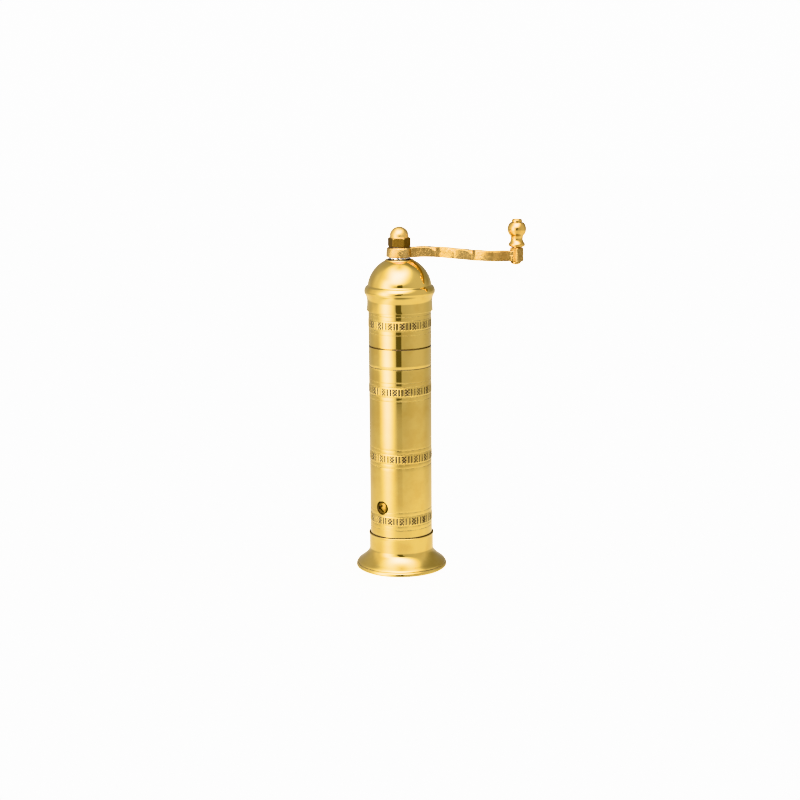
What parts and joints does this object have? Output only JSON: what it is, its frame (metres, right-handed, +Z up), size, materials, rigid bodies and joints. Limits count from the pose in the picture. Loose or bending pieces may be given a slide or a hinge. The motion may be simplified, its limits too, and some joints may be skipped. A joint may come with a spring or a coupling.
{
  "type": "coffee grinder mill",
  "caption": "Slim brass hand mill: tubular barrel with engraved bands, flared grounds cup, lift-off domed head, side crank with a turned knob and a conical burr inside.",
  "frame": {"origin": "centre of the flat underside of the flared foot", "axes": "+Z up the barrel, +X along the crank towards its knob, -Y to the front"},
  "size_m": [0.1117, 0.06, 0.2307],
  "materials": {
    "polished_brass": "polished and lacquered, fine turning marks",
    "cast_brass": "sand-cast and hand-filed, satin, hammer facets",
    "dark_brass": "darkened satin brass",
    "plain_brass": "unpolished machined brass",
    "bright_steel": "bright plated steel",
    "tool_steel": "dark hardened steel",
    "black_fibre": "matt black fibre"
  },
  "bodies": {
    "cup": {"grounds_cup": "polished_brass"},
    "barrel": {"main_barrel": "polished_brass", "head_spigot": "plain_brass", "side_screw_front": "plain_brass", "side_screw_rear": "plain_brass", "burr_housing": "plain_brass", "ring_burr": "tool_steel", "upper_bridge": "plain_brass", "burr_spring": "bright_steel", "lower_bridge": "bright_steel", "bridge_screw_left": "bright_steel", "bridge_screw_right": "bright_steel"},
    "adjuster": {"adjuster_nut": "plain_brass"},
    "spindle": {"thrust_spindle": "bright_steel", "thrust_ball": "bright_steel"},
    "cone": {"cone_burr": "tool_steel"},
    "head": {"head_sleeve": "polished_brass", "dome_lid": "polished_brass", "dome_bush": "plain_brass", "gasket_ring": "black_fibre"},
    "crank": {"drive_shaft": "bright_steel", "thrust_washer": "bright_steel", "shaft_clip": "tool_steel", "ring_nut": "bright_steel", "crank_arm": "cast_brass", "lock_washer": "tool_steel", "acorn_nut": "dark_brass", "knob_pin": "cast_brass"},
    "knob": {"crank_knob": "cast_brass"}
  },
  "joints": [
    {"name": "barrel_lift", "type": "slide", "parent": "cup", "child": "barrel", "axis": [0, 0, 1], "range_m": [0, 0.03]},
    {"name": "head_lift", "type": "slide", "parent": "barrel", "child": "head", "axis": [0, 0, 1], "range_m": [0, 0.115]},
    {"name": "crank_turn", "type": "hinge", "parent": "head", "child": "crank", "pos_m": [0, 0, 0.21], "axis": [0, 0, 1], "continuous": true},
    {"name": "knob_turn", "type": "hinge", "parent": "crank", "child": "knob", "pos_m": [0.0756, 0, 0.22], "axis": [0, 0, 1], "continuous": true},
    {"name": "grind_adjust", "type": "hinge", "parent": "barrel", "child": "adjuster", "pos_m": [0, 0, 0.035], "axis": [0, 0, 1], "range_deg": [0, 540]},
    {"name": "spindle_travel", "type": "slide", "parent": "barrel", "child": "spindle", "axis": [0, 0, 1], "range_m": [-0.0015, 0], "deforming": ["burr_spring"]},
    {"name": "cone_turn", "type": "hinge", "parent": "spindle", "child": "cone", "pos_m": [0, 0, 0.046], "axis": [0, 0, 1], "continuous": true}
  ],
  "couplings": [
    {"joint": "cone_turn", "follows": "crank_turn", "ratio": 1},
    {"joint": "grind_adjust", "follows": "spindle_travel", "rad_per_m": -6283.2}
  ]
}
